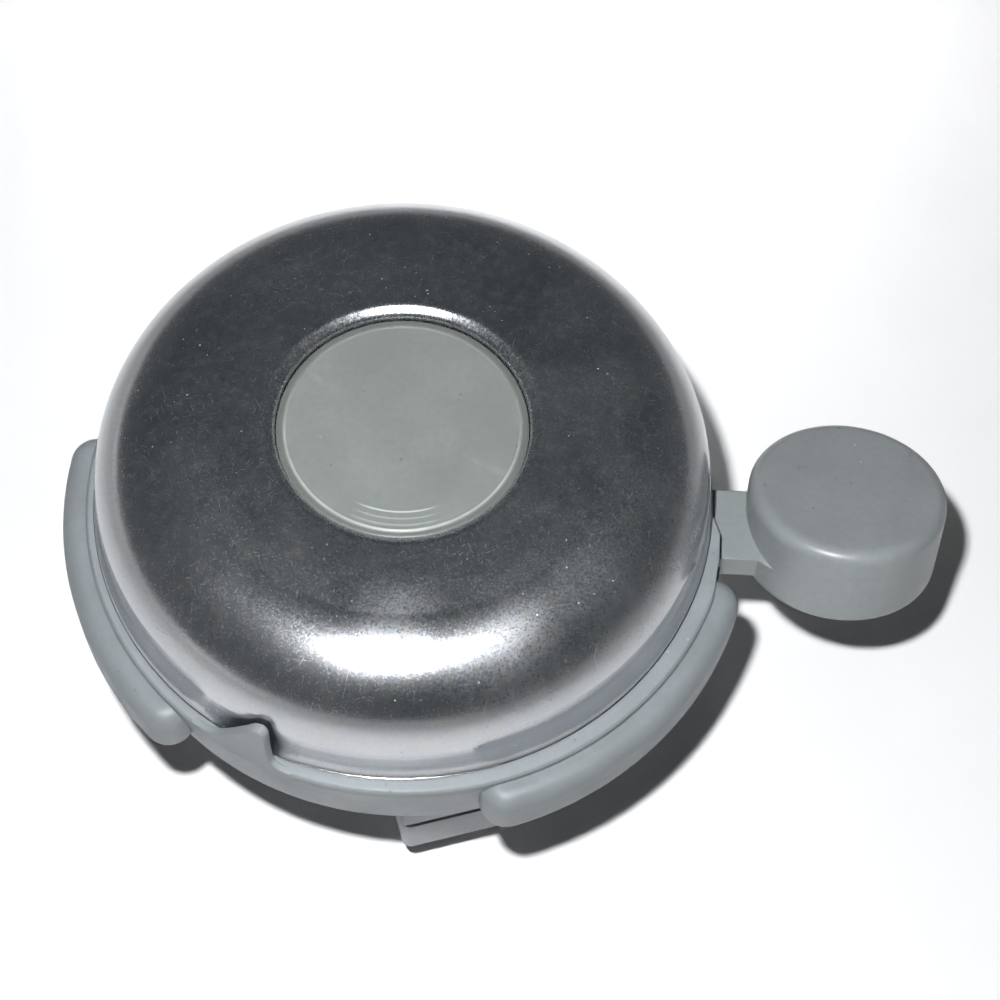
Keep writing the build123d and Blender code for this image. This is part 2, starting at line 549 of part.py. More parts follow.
# ------------------------------------------------------------------ dome, its washer and nut, and the centre cap
with BuildPart() as dome_washer:
    with BuildSketch(Plane.XY.offset(DOME_SEAT - 0.7)):
        Circle(5.0)
        Circle(POST_R2 + 0.03, mode=Mode.SUBTRACT)
    extrude(amount=0.7)
dome_washer.part.label = "dome_washer"


def dome_outer(grow):
    """Half outline of the dome's outer skin, grown outward by grow: seven joints with a point between each pair, from edge to top."""
    zs = DOME_TOP - DOME_SHOULDER            # where the shoulder starts
    rx, rz = DOME_SHOULDER + 0.4 + grow, DOME_SHOULDER - 0.35 + grow
    cx = DOME_WALL - (DOME_SHOULDER + 0.4)

    def shoulder(deg):
        return (cx + rx * math.cos(math.radians(deg)), zs + rz * math.sin(math.radians(deg)))

    # slightly turned-out edge, a nearly upright wall, then the shoulder
    pts = [(DOME_R + grow, DOME_Z0), (29.26 + grow, 24.7)]
    pts += [shoulder(2.6 + 87.4 * i / 6) for i in range(7)]
    return pts


with BuildPart() as bell_dome:
    dome_plane = Plane(origin=(*DOME_SHIFT, 0), x_dir=(1, 0, 0), z_dir=(0, -1, 0))
    out = dome_outer(0.0)
    inn = dome_outer(-DOME_T)
    with BuildSketch(dome_plane):
        with BuildLine():
            # outer skin
            for k in (0, 2, 4, 6):
                ThreePointArc(out[k], out[k + 1], out[k + 2])
            ThreePointArc(out[8], ((out[8][0] + RECESS_R + RECESS_EDGE) / 2, DOME_TOP - 0.085), (RECESS_R + RECESS_EDGE, DOME_TOP))
            ThreePointArc((RECESS_R + RECESS_EDGE, DOME_TOP), (RECESS_R + RECESS_EDGE * 0.293, DOME_TOP - RECESS_EDGE * 0.293), (RECESS_R, DOME_TOP - RECESS_EDGE))
            Polyline((RECESS_R, DOME_TOP - RECESS_EDGE), (RECESS_R, RECESS_Z + 0.5), (RECESS_R - 0.5, RECESS_Z), (2.1, RECESS_Z), (2.1, RECESS_Z - DOME_T))
            # inner skin
            Polyline((2.1, RECESS_Z - DOME_T), (RECESS_R + DOME_T - 0.6, RECESS_Z - DOME_T), (RECESS_R + DOME_T, RECESS_Z - DOME_T + 0.6), (RECESS_R + DOME_T, DOME_TOP - 1.4), (RECESS_R + DOME_T + 0.5, DOME_TOP - DOME_T - 0.05), inn[8])
            for k in (8, 6, 4, 2):
                ThreePointArc(inn[k], inn[k - 1], inn[k - 2])
            Line(inn[0], out[0])
        make_face()
    revolve(axis=Axis((*DOME_SHIFT, 0), (0, 0, 1)))
bell_dome.part.label = "bell_dome"

with BuildPart() as dome_nut:
    with BuildSketch(Plane.XY.offset(RECESS_Z)):
        RegularPolygon(2.75, 6, major_radius=False)
        Circle(POST_R2, mode=Mode.SUBTRACT)
    extrude(amount=1.7)
dome_nut.part.label = "dome_nut"

with BuildPart() as centre_cap:
    with BuildSketch(Plane(origin=(*DOME_SHIFT, 0), x_dir=(1, 0, 0), z_dir=(0, -1, 0))):
        with BuildLine():
            Polyline((0, CAP_Z + 0.2), (0, CAP_Z - 1.0), (CAP_R - 1.3, CAP_Z - 1.2), (CAP_R - 1.3, RECESS_Z), (CAP_R - 0.35, RECESS_Z), (CAP_R + 0.1, RECESS_Z + 0.6),
                     (CAP_R + 0.1, RECESS_Z + 1.6), (CAP_R, RECESS_Z + 1.8), (CAP_R, CAP_Z - 0.45))
            ThreePointArc((CAP_R, CAP_Z - 0.45), (CAP_R - 0.09, CAP_Z - 0.2), (CAP_R - 0.4, CAP_Z - 0.08))
            # bead just inside the edge
            Polyline((CAP_R - 0.4, CAP_Z - 0.08), (CAP_R - 0.5, CAP_Z), (CAP_R - 0.7, CAP_Z), (CAP_R - 0.8, CAP_Z - 0.05))
            Spline((CAP_R - 0.8, CAP_Z - 0.05), (5.5, CAP_Z + 0.13), (0, CAP_Z + 0.2), tangents=((-1, 0.05), (-1, 0)))
        make_face()
    revolve(axis=Axis((*DOME_SHIFT, 0), (0, 0, 1)))
centre_cap.part.label = "centre_cap"

# ------------------------------------------------------------------ export
for piece in (base_housing, clamp_saddle, clamp_jaw, clamp_screws, clamp_nuts, mechanism_plate, plate_screws, centre_post,
              lever_pivot_pin, idler_pin, lever_pivot_clip, idler_clip, rotor_clip, thumb_lever, lever_return_spring,
              idler_gear, rotor_pinion, rotor_arm, hammer_stud_1, hammer_stud_2, hammer_1, hammer_2,
              dome_washer, bell_dome, dome_nut, centre_cap):
    export_step(piece.part, f"parts/{piece.part.label}.step")
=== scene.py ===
# Looks for the thumb-lever bicycle bell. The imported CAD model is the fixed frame; everything here is in metres.
import json
import math

import bmesh
import bpy
from mathutils import Matrix, Vector, noise


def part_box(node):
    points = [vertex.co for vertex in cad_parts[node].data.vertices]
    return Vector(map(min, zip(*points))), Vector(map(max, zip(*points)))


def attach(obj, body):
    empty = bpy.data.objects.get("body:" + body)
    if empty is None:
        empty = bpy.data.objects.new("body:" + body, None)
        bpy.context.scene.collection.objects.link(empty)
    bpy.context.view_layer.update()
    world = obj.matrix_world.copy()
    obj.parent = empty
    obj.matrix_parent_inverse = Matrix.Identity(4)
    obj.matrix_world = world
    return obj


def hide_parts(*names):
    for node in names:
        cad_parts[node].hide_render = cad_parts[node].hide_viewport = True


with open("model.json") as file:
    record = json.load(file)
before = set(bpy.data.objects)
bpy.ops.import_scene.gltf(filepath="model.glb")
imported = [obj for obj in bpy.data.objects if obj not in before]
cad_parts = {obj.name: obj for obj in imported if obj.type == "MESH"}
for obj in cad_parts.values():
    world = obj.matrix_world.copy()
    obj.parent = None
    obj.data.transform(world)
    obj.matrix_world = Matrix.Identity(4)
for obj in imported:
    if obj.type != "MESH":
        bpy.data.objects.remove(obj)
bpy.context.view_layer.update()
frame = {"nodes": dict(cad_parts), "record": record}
nodes = frame["nodes"]
MM = 0.001
scene = bpy.context.scene


# ------------------------------------------------------------------------------------------------ node helpers
def new_mat(name):
    m = bpy.data.materials.new(name)
    m.use_nodes = True
    nt = m.node_tree
    nt.nodes.clear()
    out = nt.nodes.new("ShaderNodeOutputMaterial")
    b = nt.nodes.new("ShaderNodeBsdfPrincipled")
    nt.links.new(b.outputs["BSDF"], out.inputs["Surface"])
    return m, nt, b


class G:
    """Small helper that makes shader nodes in one tree."""

    def __init__(self, nt):
        self.nt = nt
        tc = nt.nodes.new("ShaderNodeTexCoord")
        self.obj = tc.outputs["Object"]

    def link(self, a, b):
        self.nt.links.new(a, b)

    def node(self, kind, **kw):
        n = self.nt.nodes.new(kind)
        for k, v in kw.items():
            setattr(n, k, v)
        return n

    def mapping(self, src, loc=(0, 0, 0), rot=(0, 0, 0), scale=(1, 1, 1)):
        n = self.node("ShaderNodeMapping")
        n.inputs["Location"].default_value = loc
        n.inputs["Rotation"].default_value = rot
        n.inputs["Scale"].default_value = scale
        self.link(src, n.inputs["Vector"])
        return n.outputs["Vector"]

    def noise(self, src, scale, detail=4.0, rough=0.55, dist=0.0, dims="3D"):
        n = self.node("ShaderNodeTexNoise", noise_dimensions=dims)
        n.inputs["Scale"].default_value = scale
        n.inputs["Detail"].default_value = detail
        n.inputs["Roughness"].default_value = rough
        n.inputs["Distortion"].default_value = dist
        self.link(src, n.inputs["Vector"])
        return n.outputs["Fac"]

    def voronoi(self, src, scale, feature="F1", out="Distance", rand=1.0):
        n = self.node("ShaderNodeTexVoronoi", feature=feature)
        n.inputs["Scale"].default_value = scale
        n.inputs["Randomness"].default_value = rand
        self.link(src, n.inputs["Vector"])
        return n.outputs[out]

    def ramp(self, fac, stops, interp="LINEAR"):
        n = self.node("ShaderNodeValToRGB")
        cr = n.color_ramp
        cr.interpolation = interp
        while len(cr.elements) < len(stops):
            cr.elements.new(0.5)
        for e, (p, c) in zip(cr.elements, stops):
            e.position = p
            e.color = (c, c, c, 1) if isinstance(c, (int, float)) else (*c, 1)
        self.link(fac, n.inputs["Fac"])
        return n.outputs["Color"]

    def maprange(self, v, a, b, c, d, clamp=True, kind="LINEAR"):
        n = self.node("ShaderNodeMapRange", clamp=clamp, interpolation_type=kind)
        n.inputs["From Min"].default_value = a
        n.inputs["From Max"].default_value = b
        n.inputs["To Min"].default_value = c
        n.inputs["To Max"].default_value = d
        self.link(v, n.inputs["Value"])
        return n.outputs["Result"]

    def math(self, op, a, b=None, clamp=False):
        n = self.node("ShaderNodeMath", operation=op, use_clamp=clamp)
        for i, v in enumerate((a, b)):
            if v is None:
                continue
            if isinstance(v, (int, float)):
                n.inputs[i].default_value = v
            else:
                self.link(v, n.inputs[i])
        return n.outputs[0]

    def mix(self, fac, a, b, blend="MIX"):
        n = self.node("ShaderNodeMix", data_type="RGBA", blend_type=blend)
        for sock, v in ((n.inputs[0], fac), (n.inputs[6], a), (n.inputs[7], b)):
            if isinstance(v, (int, float)):
                sock.default_value = v
            elif isinstance(v, tuple):
                sock.default_value = (*v, 1)
            else:
                self.link(v, sock)
        return n.outputs[2]

    def bump(self, height, strength, distance, normal=None):
        n = self.node("ShaderNodeBump")
        n.inputs["Strength"].default_value = strength
        n.inputs["Distance"].default_value = distance
        self.link(height, n.inputs["Height"])
        if normal is not None:
            self.link(normal, n.inputs["Normal"])
        return n.outputs["Normal"]

    def polar(self, src, cx=0.0, cy=0.0):
        """Angle about Z, radius and height of the point, all as values."""
        s = self.node("ShaderNodeSeparateXYZ")
        m = self.mapping(src, loc=(-cx, -cy, 0))
        self.link(m, s.inputs[0])
        x, y, z = s.outputs
        ang = self.math("ARCTAN2", y, x)
        r = self.math("SQRT", self.math("ADD", self.math("MULTIPLY", x, x), self.math("MULTIPLY", y, y)))
        return ang, r, z

    def combine(self, x, y, z):
        n = self.node("ShaderNodeCombineXYZ")
        for i, v in enumerate((x, y, z)):
            if isinstance(v, (int, float)):
                n.inputs[i].default_value = v
            else:
                self.link(v, n.inputs[i])
        return n.outputs[0]


def plastic(name, base, rough=0.46, seed=0.0, edge_wear_and_sheen=0.12, grain=1.0, rings=None):
    """Moulded grey plastic: mottled colour, fine grain, faint flow marks, paler edges that are partly rubbed wear and
    partly a painted edge highlight; with rings, painted shade and painted highlights on a turned disc.
    """
    m, nt, b = new_mat(name)
    g = G(nt)
    p = g.mapping(g.obj, loc=(seed, seed * 0.7, -seed * 0.3))
    cloud = g.noise(p, 130, 3, 0.6)
    fine = g.noise(p, 1500, 3, 0.65)
    flow = g.noise(g.mapping(p, scale=(1, 3.2, 5)), 90, 4, 0.6, 0.6)
    c1 = tuple(v * 0.93 for v in base)
    c2 = tuple(min(1, v * 1.06) for v in base)
    col = g.mix(g.maprange(cloud, 0.35, 0.68, 0, 1), c1, c2)
    col = g.mix(g.maprange(fine, 0.38, 0.66, 0, 0.55), col, g.mix(0.5, col, tuple(v * 0.76 for v in base)))
    # tiny pale and dark specks, as in recycled moulding compound
    v1 = g.voronoi(p, 900)
    dark = g.math("MULTIPLY", g.maprange(v1, 0.10, 0.17, 1, 0), g.maprange(g.noise(p, 420, 1, 0.5), 0.60, 0.66, 0, 1))
    col = g.mix(g.math("MULTIPLY", dark, 0.55), col, tuple(v * 0.42 for v in base))
    v2 = g.voronoi(g.mapping(p, loc=(0.31, 0.1, 0.7)), 700)
    pale = g.math("MULTIPLY", g.maprange(v2, 0.07, 0.13, 1, 0), g.maprange(g.noise(p, 300, 1, 0.5), 0.60, 0.66, 0, 1))
    col = g.mix(g.math("MULTIPLY", pale, 0.45), col, tuple(min(1, v * 1.9) for v in base))
    # paler convex edges: partly rubbed wear, partly a painted highlight along the edges
    geo = g.node("ShaderNodeNewGeometry")
    edge = g.maprange(geo.outputs["Pointiness"], 0.515, 0.60, 0, edge_wear_and_sheen)
    col = g.mix(edge, col, tuple(min(1, v * 2.1) for v in base))
    r = g.maprange(g.noise(p, 260, 4, 0.6), 0.3, 0.7, rough - 0.07, rough + 0.08)
    if rings:
        # a turned disc: painted shade on the rounded outer edge outside the bead, a painted highlight on the bead
        # strongest on the lit side, painted glints on the face rings near the lit side, and shinier ridges
        ang, rad, z = g.polar(g.obj, *rings)
        rr = g.math("MULTIPLY", rad, 1000.0)
        # lit side: strongest on the side facing the camera and key light, used to place painted highlights
        lit_side = g.maprange(g.math("COSINE", g.math("ADD", ang, math.radians(107.5))), -0.35, 0.45, 0.0, 1.0)
        lit_side_uneven = g.math("MULTIPLY", lit_side, g.maprange(g.noise(p, 500, 3, 0.6), 0.35, 0.62, 0.55, 1.0))
        # painted shade: the rounded outer edge of the cap darkened and browned
        rim_painted_shade = g.math("MULTIPLY", g.maprange(rr, 10.93, 11.08, 0, 1), g.maprange(rr, 11.42, 11.52, 1, 0.25))
        col = g.mix(g.math("MULTIPLY", rim_painted_shade, 0.72), col, tuple(v * f for v, f in zip(base, (0.48, 0.46, 0.44))))
        # painted highlight: the bead lightened, strongest on the lit side
        bead_painted_highlight = g.math("MULTIPLY", g.maprange(g.math("ABSOLUTE", g.math("SUBTRACT", rr, 10.79)), 0.05, 0.15, 1, 0), lit_side_uneven)
        col = g.mix(g.math("MULTIPLY", bead_painted_highlight, 0.62), col, tuple(min(1, v * 2.6) for v in base))
        ridge = bead_painted_highlight
        lit_near_side = g.maprange(g.math("COSINE", g.math("ADD", ang, math.radians(107.5))), 0.90, 0.985, 0.0, 1.0, kind="SMOOTHSTEP")
        for rk in (10.30, 9.67, 9.00):
            one = g.maprange(g.math("ABSOLUTE", g.math("SUBTRACT", rr, rk)), 0.06, 0.20, 1, 0)
            ridge = g.math("MAXIMUM", ridge, g.math("MULTIPLY", one, lit_near_side))
            # painted glints: thin pale arcs on the rings, only on the side nearest the light
            painted_glint = g.maprange(g.math("ABSOLUTE", g.math("SUBTRACT", rr, rk)), 0.03, 0.11, 1, 0)
            col = g.mix(g.math("MULTIPLY", g.math("MULTIPLY", painted_glint, lit_near_side), 0.75 if rk < 9.5 else 0.35), col, tuple(min(1, v * 3.0) for v in base))
        r = g.math("SUBTRACT", r, g.math("MULTIPLY", ridge, 0.20))
    g.link(col, b.inputs["Base Color"])
    g.link(r, b.inputs["Roughness"])
    bev = g.node("ShaderNodeBevel", samples=6)
    bev.inputs["Radius"].default_value = 0.00028
    n1 = g.bump(g.noise(p, 2600, 2, 0.6), 0.16 * grain, 0.00006, bev.outputs["Normal"])
    n2 = g.bump(flow, 0.10 * grain, 0.0002, n1)
    n3 = g.bump(g.math("ADD", g.math("MULTIPLY", dark, -1.0), pale), 0.25, 0.00003, n2)
    g.link(n3, b.inputs["Normal"])
    b.inputs["Specular IOR Level"].default_value = 0.42
    b.inputs["IOR"].default_value = 1.50
    return m


def dome_metal(name, cx, cy):
    """Polished spun aluminium, handled: lathe lines, short random scratches, dust and smudges."""
    m, nt, b = new_mat(name)
    g = G(nt)
    p = g.obj
    ang, rad, z = g.polar(p, cx, cy)
    # length along the section, so lathe lines run evenly over the top, shoulder and wall
    s = g.math("SUBTRACT", rad, g.math("MULTIPLY", z, 0.9))
    lathe = g.noise(g.combine(g.math("MULTIPLY", ang, 0.0012), g.math("MULTIPLY", s, 1.0), 0.0), 9000, 2, 0.6)
    lathe2 = g.noise(g.combine(g.math("MULTIPLY", ang, 0.004), s, 0.3), 2600, 3, 0.6)
    # short hair scratches, each in its own cell and its own direction
    wob = g.node("ShaderNodeVectorMath", operation="SCALE")
    wn = g.node("ShaderNodeTexNoise")
    wn.inputs["Scale"].default_value = 240
    wn.inputs["Detail"].default_value = 1
    g.link(p, wn.inputs["Vector"])
    g.link(wn.outputs["Color"], wob.inputs[0])
    wob.inputs["Scale"].default_value = 0.0009
    add = g.node("ShaderNodeVectorMath", operation="ADD")
    g.link(p, add.inputs[0])
    g.link(wob.outputs[0], add.inputs[1])
    q = add.outputs[0]
    scr = None
    for k, (cells, width, length, keep) in enumerate(((1300, 0.040, 0.40, 0.45), (900, 0.026, 0.42, 0.50), (620, 0.018, 0.44, 0.55), (400, 0.012, 0.44, 0.62), (230, 0.0065, 0.46, 0.68), (1100, 0.034, 0.38, 0.45))):
        qq = g.mapping(q, loc=(0.017 * k, 0.029 * k, 0.0), rot=(0.25 * (k % 3), 0.2 * (k % 2), 0.9 * k))
        vo = g.node("ShaderNodeTexVoronoi", voronoi_dimensions="2D", feature="F1")
        vo.inputs["Scale"].default_value = cells
        g.link(qq, vo.inputs["Vector"])
        sc = g.node("ShaderNodeVectorMath", operation="SCALE")
        sc.inputs["Scale"].default_value = cells
        g.link(qq, sc.inputs[0])
        pos = g.node("ShaderNodeVectorMath", operation="SCALE")
        pos.inputs["Scale"].default_value = cells
        g.link(vo.outputs["Position"], pos.inputs[0])
        loc = g.node("ShaderNodeVectorMath", operation="SUBTRACT")
        g.link(sc.outputs[0], loc.inputs[0])
        g.link(pos.outputs[0], loc.inputs[1])
        rnd = g.node("ShaderNodeSeparateColor")
        g.link(vo.outputs["Color"], rnd.inputs[0])
        ro = g.node("ShaderNodeVectorRotate", rotation_type="Z_AXIS")
        g.link(loc.outputs[0], ro.inputs["Vector"])
        g.link(g.math("MULTIPLY", rnd.outputs[0], 6.283), ro.inputs["Angle"])
        sp = g.node("ShaderNodeSeparateXYZ")
        g.link(ro.outputs[0], sp.inputs[0])
        across = g.maprange(g.math("ABSOLUTE", sp.outputs[1]), width * 0.35, width, 1, 0)
        along = g.maprange(g.math("ABSOLUTE", sp.outputs[0]), length * 0.4, length, 1, 0)
        on = g.maprange(rnd.outputs[1], keep, 1.0, 0.0, 0.9)
        one = g.math("MULTIPLY", g.math("MULTIPLY", across, along), on)
        scr = one if scr is None else g.math("MAXIMUM", scr, one)
    # scratches crowd on the shoulder and in patches
    patch = g.maprange(g.noise(g.mapping(p, loc=(0.7, 0.3, 0)), 120, 4, 0.65), 0.40, 0.62, 0.12, 1.0)
    scr = g.math("MULTIPLY", scr, patch)
    # rubbed patches on the front shoulder
    rub = None
    for px, py, pz, pr in RUBS:
        dn = g.node("ShaderNodeVectorMath", operation="DISTANCE")
        g.link(p, dn.inputs[0])
        dn.inputs[1].default_value = (px, py, pz)
        one = g.maprange(dn.outputs["Value"], 0.0, pr, 1, 0, kind="SMOOTHSTEP")
        rub = one if rub is None else g.math("MAXIMUM", rub, one)
    rub = g.math("MULTIPLY", rub, g.maprange(g.noise(g.mapping(p, loc=(0.2, 0.5, 0.4)), 3400, 3, 0.7), 0.30, 0.70, 0.45, 1.0))
    # smudges, dull patches and a close mottle
    smudge = g.noise(p, 75, 5, 0.62, 0.8)
    haze = g.noise(g.mapping(p, loc=(0.4, 0.2, 0.1)), 210, 4, 0.6, 0.3)
    mottle = g.noise(g.mapping(p, loc=(0.1, 0.9, 0.1)), 4600, 4, 0.75)
    micro = g.noise(p, 4200, 3, 0.7)
    dustv = g.voronoi(g.mapping(p, loc=(0.05, 0.4, 0.2)), 1250)
    dust = g.math("MULTIPLY", g.maprange(dustv, 0.06, 0.14, 1, 0), g.maprange(g.noise(p, 330, 2, 0.6), 0.56, 0.66, 0, 1))
    rough = g.maprange(smudge, 0.34, 0.70, METAL_ROUGH[0], METAL_ROUGH[1])
    rough = g.math("ADD", rough, g.maprange(haze, 0.4, 0.75, 0.0, 0.03))
    rough = g.math("ADD", rough, g.maprange(mottle, 0.36, 0.72, -0.03, 0.09))
    rough = g.math("ADD", rough, g.math("MULTIPLY", rub, 0.145))
    rough = g.math("ADD", rough, g.math("MULTIPLY", scr, 0.10))
    lipm = g.maprange(rad, 0.0124, 0.0131, 1, 0)
    rough = g.math("ADD", rough, g.math("MULTIPLY", lipm, g.maprange(mottle, 0.36, 0.66, 0.0, 0.07)))
    rough = g.math("ADD", rough, g.math("MULTIPLY", dust, 0.30), clamp=True)
    rough = g.math("SUBTRACT", rough, g.maprange(z, 0.0280, 0.0310, 0.040, 0.0), clamp=True)
    g.link(rough, b.inputs["Roughness"])
    col = g.mix(g.maprange(smudge, 0.3, 0.75, 0, 1), METAL_A, METAL_B)
    col = g.mix(g.maprange(mottle, 0.40, 0.70, 0, 0.45), col, tuple(v * 0.80 for v in METAL_B))
    col = g.mix(g.maprange(micro, 0.35, 0.70, 0, 0.30), col, tuple(v * 0.86 for v in METAL_B))
    tone = g.noise(g.mapping(p, loc=(0.6, 0.1, 0.5)), 900, 4, 0.7)
    col = g.mix(g.maprange(tone, 0.36, 0.50, 0.55, 0.0), col, tuple(v * f for v, f in zip(METAL_A, (0.82, 0.90, 1.02))))
    col = g.mix(g.maprange(tone, 0.54, 0.70, 0.0, 0.40), col, tuple(v * f for v, f in zip(METAL_A, (1.00, 0.97, 0.90))))
    col = g.mix(g.math("ADD", g.math("MULTIPLY", dust, 0.45), g.math("MULTIPLY", scr, 0.22), clamp=True), col, (0.80, 0.82, 0.84))
    g.link(col, b.inputs["Base Color"])
    met = g.math("SUBTRACT", 1.0, g.math("MULTIPLY", dust, 0.28))
    met = g.math("SUBTRACT", met, g.math("MULTIPLY", scr, 0.09))
    met = g.math("SUBTRACT", met, g.maprange(mottle, 0.46, 0.74, 0.0, 0.02))
    met = g.math("SUBTRACT", met, g.maprange(smudge, 0.40, 0.68, 0.0, 0.026))
    met = g.math("SUBTRACT", met, g.maprange(tone, 0.48, 0.68, 0.0, 0.020))
    g.link(met, b.inputs["Metallic"])
    n1 = g.bump(lathe, 0.13, 0.00002)
    n2 = g.bump(lathe2, 0.04, 0.00004, n1)
    n3 = g.bump(scr, 0.12, 0.000010, n2)
    n4 = g.bump(g.noise(p, 160, 3, 0.5), 0.05, 0.0004, n3)
    n5 = g.bump(micro, 0.07, 0.00002, n4)
    g.link(n5, b.inputs["Normal"])
    b.inputs["IOR"].default_value = 1.45
    return m


def steel(name, base=(0.60, 0.61, 0.63), rough=0.30, scale=1.0, tint=(0.52, 0.54, 0.58)):
    """Zinc-plated steel: fine drawn grain, cloudy plating, small dull spots."""
    m, nt, b = new_mat(name)
    g = G(nt)
    p = g.obj
    cloud = g.noise(p, 260 * scale, 4, 0.6, 0.4)
    grain = g.noise(g.mapping(p, scale=(900, 60, 240)), 3.0 * scale, 3, 0.6)
    spots = g.maprange(g.voronoi(p, 900 * scale), 0.05, 0.2, 1, 0)
    col = g.mix(g.maprange(cloud, 0.3, 0.7, 0, 1), base, tint)
    col = g.mix(g.math("MULTIPLY", spots, 0.25), col, tuple(v * 0.6 for v in base))
    g.link(col, b.inputs["Base Color"])
    g.link(g.maprange(cloud, 0.3, 0.75, rough - 0.06, rough + 0.12), b.inputs["Roughness"])
    n1 = g.bump(grain, 0.08, 0.00003)
    n2 = g.bump(g.noise(p, 3000, 2, 0.6), 0.07, 0.00003, n1)
    g.link(n2, b.inputs["Normal"])
    b.inputs["Metallic"].default_value = 1.0
    return m


def nylon(name, base):
    """Natural moulded nylon: waxy, slightly translucent look, faint grease."""
    m, nt, b = new_mat(name)
    g = G(nt)
    p = g.obj
    cloud = g.noise(p, 300, 4, 0.6)
    grease = g.maprange(g.noise(g.mapping(p, loc=(0.2, 0, 0)), 180, 3, 0.6, 0.5), 0.52, 0.64, 0, 1)
    col = g.mix(g.maprange(cloud, 0.3, 0.7, 0, 1), tuple(v * 0.92 for v in base), base)
    col = g.mix(g.math("MULTIPLY", grease, 0.35), col, (0.33, 0.29, 0.21))
    g.link(col, b.inputs["Base Color"])
    g.link(g.maprange(grease, 0, 1, 0.42, 0.18), b.inputs["Roughness"])
    g.link(g.bump(g.noise(p, 1800, 2, 0.6), 0.12, 0.00005), b.inputs["Normal"])
    return m


def assign(obj, mat):
    obj.data.materials.clear()
    obj.data.materials.append(mat)


def obj_from_bm(name, bm, mat, smooth=True):
    me = bpy.data.meshes.new(name)
    bm.to_mesh(me)
    bm.free()
    me.materials.append(mat)
    if smooth:
        me.polygons.foreach_set("use_smooth", [True] * len(me.polygons))
    o = bpy.data.objects.new(name, me)
    scene.collection.objects.link(o)
    return o


# ------------------------------------------------------------------------------------------------ lathe work
DOME_C = ((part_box("bell_dome")[0].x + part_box("bell_dome")[1].x) / 2, (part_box("bell_dome")[0].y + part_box("bell_dome")[1].y) / 2)


def smooth_path(pts, step):
    """Catmull-Rom through the points, sampled about every step millimetres."""
    out = []
    n = len(pts)
    for i in range(n - 1):
        p0 = pts[max(i - 1, 0)]
        p1, p2 = pts[i], pts[i + 1]
        p3 = pts[min(i + 2, n - 1)]
        k = max(1, int(math.hypot(p2[0] - p1[0], p2[1] - p1[1]) / step))
        for j in range(k):
            t = j / k
            out.append(tuple(
                0.5 * (2 * p1[d] + (-p0[d] + p2[d]) * t + (2 * p0[d] - 5 * p1[d] + 4 * p2[d] - p3[d]) * t * t
                       + (-p0[d] + 3 * p1[d] - 3 * p2[d] + p3[d]) * t ** 3) for d in (0, 1)))
    out.append(pts[-1])
    return out


def lathe(name, outline, centre, mat, segs=288, closed=True):
    """Spins an outline of (radius, height) in millimetres about a vertical axis. Points at radius 0 become one vertex."""
    bm = bmesh.new()
    rings = []
    for r, z in outline:
        if r < 1e-6:
            rings.append([bm.verts.new((centre[0], centre[1], z * MM))])
        else:
            rings.append([bm.verts.new((centre[0] + r * MM * math.cos(2 * math.pi * k / segs), centre[1] + r * MM * math.sin(2 * math.pi * k / segs), z * MM)) for k in range(segs)])
    pairs = list(zip(rings, rings[1:]))
    if closed:
        pairs.append((rings[-1], rings[0]))
    for a, b in pairs:
        if len(a) == 1 and len(b) == 1:
            continue
        for k in range(segs):
            k2 = (k + 1) % segs
            if len(a) == 1:
                bm.faces.new((a[0], b[k], b[k2]))
            elif len(b) == 1:
                bm.faces.new((a[k], b[0], a[k2]))
            else:
                bm.faces.new((a[k], b[k], b[k2], a[k2]))
    bmesh.ops.recalc_face_normals(bm, faces=bm.faces)
    return obj_from_bm(name, bm, mat)


# ------------------------------------------------------------------------------------------------ materials
METAL_A, METAL_B = (0.540, 0.546, 0.555), (0.496, 0.502, 0.511)
METAL_ROUGH = (0.190, 0.210)
RUBS = ((0.0040, -0.0237, 0.0325, 0.0085), (0.0140, -0.0205, 0.0325, 0.0095), (0.0205, -0.0140, 0.0330, 0.0075), (-0.0060, -0.0190, 0.0345, 0.0055))
GREY = (0.184, 0.201, 0.210)
m_housing = plastic("housing_grey_plastic", GREY, seed=0.0)
m_cap = plastic("cap_grey_plastic", (0.166, 0.180, 0.172), rough=0.44, seed=0.21, edge_wear_and_sheen=0.08, rings=DOME_C)
m_lever = plastic("lever_grey_plastic", (0.205, 0.222, 0.225), rough=0.34, seed=0.0)
m_clamp = plastic("clamp_grey_plastic", (0.250, 0.254, 0.268), rough=0.50, seed=0.65)
m_dome = dome_metal("polished_aluminium", *DOME_C)
m_zinc = steel("zinc_plated_steel")
m_spring = steel("oiled_spring_steel", base=(0.34, 0.34, 0.35), rough=0.28, tint=(0.26, 0.27, 0.29))
m_hammer = steel("tumbled_steel", base=(0.50, 0.50, 0.51), rough=0.38, tint=(0.42, 0.42, 0.43))
m_brass = steel("turned_brass", base=(0.78, 0.58, 0.25), rough=0.26, tint=(0.70, 0.50, 0.22))
m_nylon = nylon("natural_nylon", (0.66, 0.63, 0.55))

MATS = {
    "housing_plastic": m_housing, "cap_plastic": m_cap, "lever_plastic": m_lever, "clamp_plastic": m_clamp, "dome_aluminium": m_dome,
    "zinc_steel": m_zinc, "spring_steel": m_spring, "gear_nylon": m_nylon, "pinion_brass": m_brass, "hammer_steel": m_hammer,
}
for sp in frame["record"]["subparts"]:
    assign(nodes[sp["node"]], MATS[sp["material_slot"]])

# ------------------------------------------------------------------------------------------------ dome
DOME_R, DOME_Z0, DOME_WALL, DOME_TOP, SHOULDER, DOME_T = 29.75, 22.55, 29.02, 35.7, 9.1, 1.0
RECESS_R, RECESS_EDGE, RECESS_Z = 11.75, 0.75, 31.6


